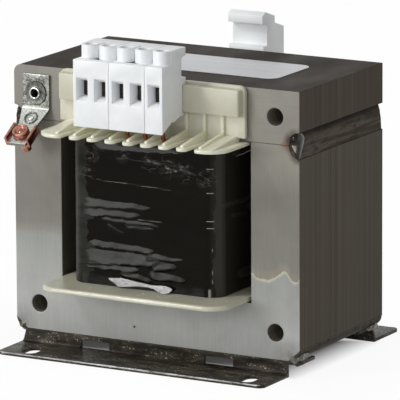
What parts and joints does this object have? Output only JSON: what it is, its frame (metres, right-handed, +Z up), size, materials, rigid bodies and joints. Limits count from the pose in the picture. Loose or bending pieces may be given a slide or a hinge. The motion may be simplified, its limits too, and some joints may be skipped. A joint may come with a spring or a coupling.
{
  "type": "control transformer",
  "caption": "Open-frame control transformer with a welded lamination core, ivory bobbin, taped winding, white screw terminals, earth tab and slotted sheet feet.",
  "frame": {"origin": "on the standing plane of the feet, below the middle of the core", "axes": "+X to the right of the terminal side, +Y towards the back, +Z up"},
  "size_m": [0.12, 0.108, 0.1199],
  "materials": {
    "lamination": "bare electrical sheet under thin varnish",
    "weld": "dark weld bead",
    "foot_sheet": "black varnished sheet",
    "bobbin": "ivory moulding",
    "winding": "black film tape",
    "housing": "white moulding",
    "clamp_metal": "plain brass",
    "screw_metal": "plated steel",
    "copper": "enamelled copper wire",
    "tab_metal": "zinc plated sheet",
    "rivet_metal": "plain",
    "earth_copper": "coppered steel"
  },
  "bodies": {
    "root": {"e_core": "lamination", "i_core": "lamination", "left_seam_weld": "weld", "right_seam_weld": "weld", "left_corner_weld": "weld", "right_corner_weld": "weld", "front_foot": "foot_sheet", "rear_foot": "foot_sheet", "bobbin": "bobbin", "winding": "winding", "front_housing_left": "housing", "front_housing_middle": "housing", "front_housing_right": "housing", "rear_housing": "housing", "front_clamps": "clamp_metal", "rear_clamps": "clamp_metal", "front_clamp_screws": "screw_metal", "rear_clamp_screws": "screw_metal", "front_leads": "copper", "rear_leads": "copper", "earth_tab": "tab_metal", "earth_rivet": "rivet_metal", "earth_saddle": "earth_copper", "earth_screw": "earth_copper"}
  },
  "joints": []
}
